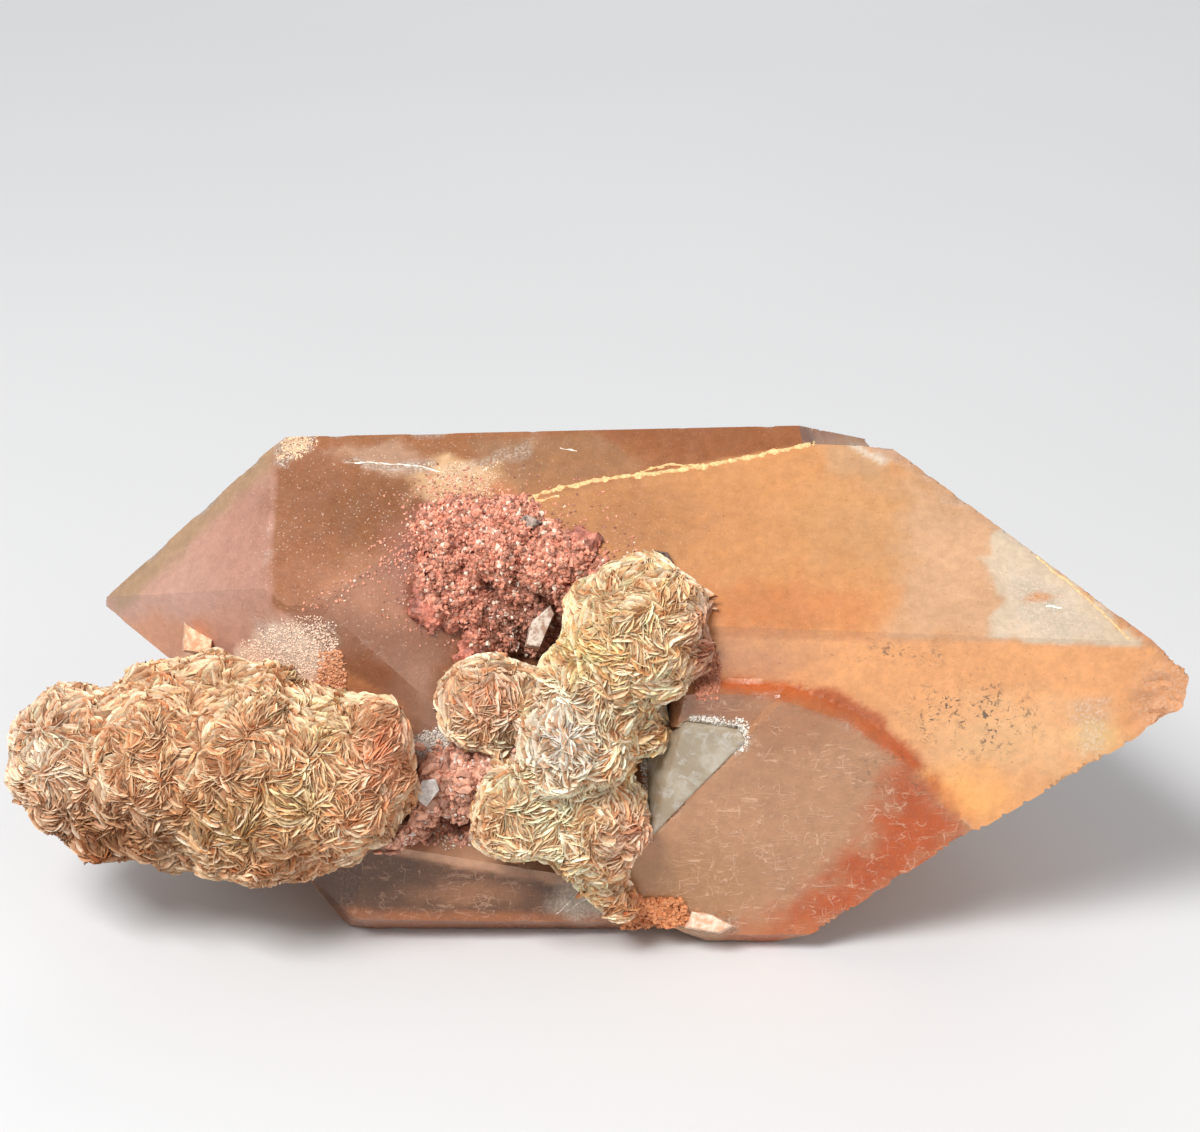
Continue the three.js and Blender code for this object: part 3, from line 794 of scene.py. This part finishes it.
places = grown_on(druse_tree, DRUSE_SHAPE, 5200, draw, druse_shades, (0.00016, 0.0005), (0.0004, 0.0012), 0.7)
for shape, count in [
    ([(430, 470), (500, 480), (600, 545), (640, 560), (600, 600), (420, 610), (395, 560), (410, 500)], 1300),
    ([(500, 560, 140, 100)], 700),
    ([(300, 610), (330, 590), (430, 520), (440, 530), (320, 612)], 260),
]:
    width, height = (0.0001, 0.00026), (0.0001, 0.0004)
    places += grown_on(quartz_tree, shape, count, draw, druse_shades, width, height, 0.9)
druse, colours, _ = joined("red_druse_crystals", CRYSTALS, places)
paint(druse, "tint", colours)
druse.data.materials.append(grain_look("maroon_crystals", 0.35))
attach(druse, "root")
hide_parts("red_druse")

# Lower crust: purple-red granular iron mineral and small reddish blocks, wedged between the left crystal,
# the bar-shaped one and the rosettes.
crust_shape = [(362, 832), (385, 800), (412, 768), (440, 745), (500, 735), (535, 760), (525, 800), (485, 815),
               (465, 842), (430, 835), (395, 848)]
# Lumps that fill the slot between the crystals, over the crust's own solid
SLOT_LUMPS = [(-22, -33, 29.4, 4.2), (-16.2, -33.1, 31.4, 4.6), (-12, -32.2, 35.2, 3.6),
              (-26.4, -32.2, 30.9, 3), (-11.3, -36.4, 29.3, 3.2)]
crust_bed = rough_bed(
    "lower_crust_bed", "lower_crust", 0.0004, 5, 0.0009, (206, 146, 122), 0.6, SLOT_LUMPS
)
crust_tree = joined_trees((points, faces), crust_bed)


def crust_shades(place, draw):
    if draw.random() < 0.08:
        return linear((236, 220, 206))
    return linear((238, 178, 150)) * draw.uniform(0.45, 1.15)


places = grown_on(crust_tree, crust_shape, 2600, draw, crust_shades, (0.00016, 0.0005), (0.0003, 0.0009), 0.8)
for x, y in draw.uniform((385, 745), (520, 835), size=(60, 2)):
    hit, normal, _, _ = crust_tree.ray_cast(EYE, sight(x, y))
    if hit and (hit - EYE).length < FARTHEST:
        turn = np.array(Matrix.Rotation(draw.uniform(0, 6.3), 3, Vector(draw.normal(size=3)).normalized()))
        axes = turn * draw.uniform(0.0005, 0.0016, size=3)
        places.append((1, axes, np.array(hit), crust_shades((x, y), draw)))
crust, colours, _ = joined("lower_crust_grains", CRYSTALS, places)
paint(crust, "tint", colours)
crust.data.materials.append(grain_look("crust_grains", 0.5))
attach(crust, "root")
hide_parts("lower_crust")

# Pale growths: frost, crushed quartz and a cream crust, white because they are full of tiny cracks. They
# lie round the window, above the lower crust, behind the left rosette and along chipped edges.
def pale_shades(colour):
    return lambda place, draw: linear(colour) * draw.uniform(0.8, 1.05)


WHITE, CREAM, PINK, ORANGE = (246, 238, 226), (246, 208, 170), (255, 222, 196), (226, 148, 96)
places = []
for shape, count, colour, coarse in [
    ([(412, 742), (440, 726), (470, 736), (466, 762), (430, 766)], 1500, WHITE, 1),
    ([(240, 652), (262, 632), (322, 616), (338, 634), (334, 668), (300, 684), (262, 672)], 1900, PINK, 0.85),
    ([(322, 660), (338, 650), (346, 690), (334, 706), (318, 690)], 500, (224, 158, 116), 1.6),
    ([(690, 716), (742, 724), (750, 742), (735, 754), (738, 735), (692, 724)], 700, WHITE, 1),
    ([(642, 760), (652, 752), (656, 800), (648, 842), (640, 830)], 500, WHITE, 1),
    ([(276, 452), (290, 433), (318, 430), (312, 446), (290, 460)], 520, CREAM, 1.0),
    ([(440, 835), (470, 800), (476, 812), (450, 850)], 200, WHITE, 1),
    ([(425, 480), (450, 462), (500, 468), (490, 500), (440, 500)], 520, CREAM, 0.9),
    ([(620, 905), (650, 898), (684, 906), (688, 918), (650, 926), (628, 922)], 900, ORANGE, 2.4),
    ([(696, 640), (716, 650), (720, 690), (700, 700)], 900, (200, 130, 100), 1.6),
]:
    width, height = (0.00004 * coarse, 0.00022 * coarse), (0.00004 * coarse, 0.00026 * coarse)
    lift = 0.0006 if coarse > 2 else 0.0  # coarse grains lie in a heap
    places += grown_on(quartz_tree, shape, count, draw, pale_shades(colour), width, height, 1.2, lift)
pale, colours, _ = joined("pale_growths", CRYSTALS, places)
paint(pale, "tint", colours)
pale.data.materials.append(grain_look("pale_frost", 0.4))
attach(pale, "root")

# Ochre seam: earthy iron mineral that filled the joint between the two large crystals, in a thin broken
# line with a loop.
def vein(name, runs, colour, spread):
    """Low raised lines over the quartz. A run is a path in the front view, its half width and its height."""
    all_points, all_faces = [], []
    for number, (path, half, height) in enumerate(runs):
        knots = np.array(path, float)
        reach = np.concatenate([[0], np.cumsum(np.hypot(*np.diff(knots, axis=0).T))])
        before = None
        for s in np.arange(0, reach[-1], 1.0):
            x, y = (np.interp(s, reach, knots[:, k]) for k in (0, 1))
            ahead = [np.interp(s + 1, reach, knots[:, k]) for k in (0, 1)]
            dx, dy = ahead[0] - x, ahead[1] - y
            size = math.hypot(dx, dy) or 1
            sway = 1.8 * spread * noise.fractal(Vector((s * 0.06, number * 9, 0)), 1.0, 2.0, 3)
            wide = half * max(0.15, 0.9 + 1.3 * noise.fractal(Vector((s * 0.11, number * 7, 5)), 1.0, 2.0, 3))
            row = []
            for k in (-1, -0.5, 0, 0.5, 1):
                at = (x - dy / size * (k * wide + sway), y + dx / size * (k * wide + sway))
                hit, normal, _, _ = quartz_tree.ray_cast(EYE, sight(*at))
                if hit is None:
                    break
                rise = height * (1 - k * k) * (0.8 + 0.7 * noise.noise(Vector((s * 0.35, k * 1.3, number))))
                row.append(len(all_points))
                all_points.append(tuple(hit + normal * (rise - 0.00003)))
            if before and len(row) == 5:
                if (Vector(all_points[row[2]]) - Vector(all_points[before[2]])).length < 0.0012:
                    all_faces += [(before[i], row[i], row[i + 1], before[i + 1]) for i in range(4)]
            before = row if len(row) == 5 else None
    made = mesh_object(name, all_points, all_faces, 180)
    paint(made, "tint", np.tile(linear(colour), (len(all_points), 1)))
    made.data.materials.append(grain_look(name, 0.6, mottle=0.3))
    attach(made, "root")


vein("ochre_seam", [
    ([(520, 502), (560, 488), (610, 478), (650, 474), (700, 467), (760, 455), (815, 443)], 2.2, 0.0004),
    ([(640, 472), (670, 464), (700, 466), (720, 463)], 1.2, 0.0003),
    ([(500, 500), (530, 502), (560, 496)], 1.2, 0.0003),
    ([(1005, 515), (1040, 560), (1090, 600), (1130, 640)], 1.0, 0.0002),
], (240, 196, 136), 1.0)

# White fractures: short cracks in the quartz that scatter light, opened by knocks and strain. Most of
# them lie low in the middle.
vein("white_fractures", [
    ([(556, 914), (574, 898), (584, 884)], 0.6, 0.00006),
    ([(566, 912), (590, 896)], 0.5, 0.00006),
    ([(346, 462), (380, 463), (420, 466), (445, 473)], 0.8, 0.00008),
    ([(560, 448), (577, 451)], 1.0, 0.0001),
    ([(716, 728), (728, 738), (740, 734)], 1.0, 0.0001),
    ([(1046, 606), (1062, 608)], 1.2, 0.0001),
], (246, 236, 222), 0.6)


# Shards: splinters and chips of quartz, some glassy grey, some coated, caught between the growths, and one
# flat six-sided silvery plate.
def shard(name, outline, front, back, slot_name, colours, **values):
    """A flat-faced piece between two depths over an outline in the front view, in metres off the crust."""
    corners = []
    for x, y in outline:
        hit, _, _, _ = crust_tree.ray_cast(EYE, sight(x, y))
        corners.append(hit)
    depth = max((corner - AIM).dot(TO_VIEWER) for corner in corners)
    bm = bmesh.new()
    middle = np.mean(outline, axis=0)
    for lift, shrink in ((front, 0.86), (back, 1.0)):
        for x, y in outline:
            way = sight(middle[0] + (x - middle[0]) * shrink, middle[1] + (y - middle[1]) * shrink)
            bm.verts.new(EYE + way * ((VIEW_DISTANCE - depth - lift) / -way.dot(TO_VIEWER)))
    bmesh.ops.convex_hull(bm, input=bm.verts)
    bmesh.ops.dissolve_limit(bm, angle_limit=math.radians(2), verts=bm.verts, edges=bm.edges)
    bmesh.ops.bevel(
        bm, geom=list(bm.edges), offset=0.00012, offset_type="OFFSET", segments=2, profile=0.5,
        affect="EDGES", clamp_overlap=True, material=-1,
    )
    made = bpy.data.objects.new(name, bpy.data.meshes.new(name))
    bm.to_mesh(made.data)
    bm.free()
    bpy.context.collection.objects.link(made)
    look = Look(name, **values)
    dark, light = ([*linear(colour), 1] for colour in colours)
    shade = look.mix(look.ramp(look.noise(0.0012, 4, 0.7), 0.4, 0.6), dark, light)
    made.data.materials.append(look.finish(shade, look.bump(look.noise(0.0008, 4), 0.4, 0.0003)))
    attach(made, "root")


shard("silvery_plate", [(413, 798), (421, 779), (437, 777), (441, 790), (426, 809)], 0.0016, -0.001,
      "red_crust", [(206, 196, 188), (240, 234, 228)], Roughness=0.15, IOR=1.6, Specular_IOR_Level=0.9)
shard("grey_splinter", [(524, 648), (530, 622), (552, 602), (556, 612), (540, 650)], 0.0022, -0.001,
      "maroon_druse", [(176, 140, 118), (232, 216, 198)], Roughness=0.3, IOR=1.544)
shard("dark_bead", [(648, 560), (654, 550), (668, 552), (674, 562), (664, 568)], 0.001, -0.001,
      "maroon_druse", [(70, 54, 50), (120, 100, 92)], Roughness=0.2, IOR=1.544)
shard("dark_chip", [(508, 520), (528, 514), (544, 522), (534, 530), (514, 528)], 0.001, -0.001,
      "maroon_druse", [(84, 66, 60), (190, 170, 156)], Roughness=0.25, IOR=1.544)
shard("cream_flake", [(182, 652), (184, 622), (196, 630), (214, 640), (212, 656)], 0.0006, -0.002,
      "tangerine_quartz", [(222, 160, 118), (246, 214, 176)], Roughness=0.5, IOR=1.544)
shard("low_chip", [(684, 928), (690, 910), (712, 914), (735, 926), (720, 934)], 0.0005, -0.001,
      "tangerine_quartz", [(222, 170, 136), (240, 214, 190)], Roughness=0.35, IOR=1.544)

# Stage: a plain pale floor, soft light from above and the upper left, and the camera of the front view.
floor = mesh_object("floor", [(-3, -3, 0), (3, -3, 0), (3, 3, 0), (-3, 3, 0)], [(0, 1, 2, 3)])
look = Look("pale_floor", Roughness=0.9)
soft = look.mix(look.ramp(look.noise(0.4), 0.3, 0.7), (0.68, 0.68, 0.68, 1), (0.71, 0.71, 0.71, 1))
floor.data.materials.append(look.finish(soft))

world = bpy.data.worlds.new("soft_room")
world.use_nodes = True
world.node_tree.nodes["Background"].inputs["Color"].default_value = (0.95, 0.97, 1.0, 1)
world.node_tree.nodes["Background"].inputs["Strength"].default_value = 0.35
bpy.context.scene.world = world
for name, place, size, power in [
    ("key", (-0.35, -0.5, 0.85), 0.35, 11),
    ("fill", (0.7, -0.6, 0.5), 0.8, 2.4),
    ("back", (0.1, 0.9, 0.6), 0.7, 2.5),
]:
    lamp = bpy.data.lights.new(name, "AREA")
    lamp.size = size
    lamp.energy = power
    lit = bpy.data.objects.new(name, lamp)
    lit.location = place
    lit.rotation_euler = (AIM - Vector(place)).to_track_quat("-Z", "Y").to_euler()
    bpy.context.collection.objects.link(lit)
bpy.context.scene.view_settings.view_transform = "Standard"

camera = bpy.data.objects.new("camera", bpy.data.cameras.new("camera"))
SENSOR = 36
camera.data.sensor_width = SENSOR
camera.data.lens = SENSOR * VIEW_DISTANCE / (2 * MIDDLE_X * VIEW_STEP)
camera.location = EYE
camera.rotation_euler = (AIM - EYE).to_track_quat("-Z", "Y").to_euler()
bpy.context.collection.objects.link(camera)
bpy.context.scene.camera = camera
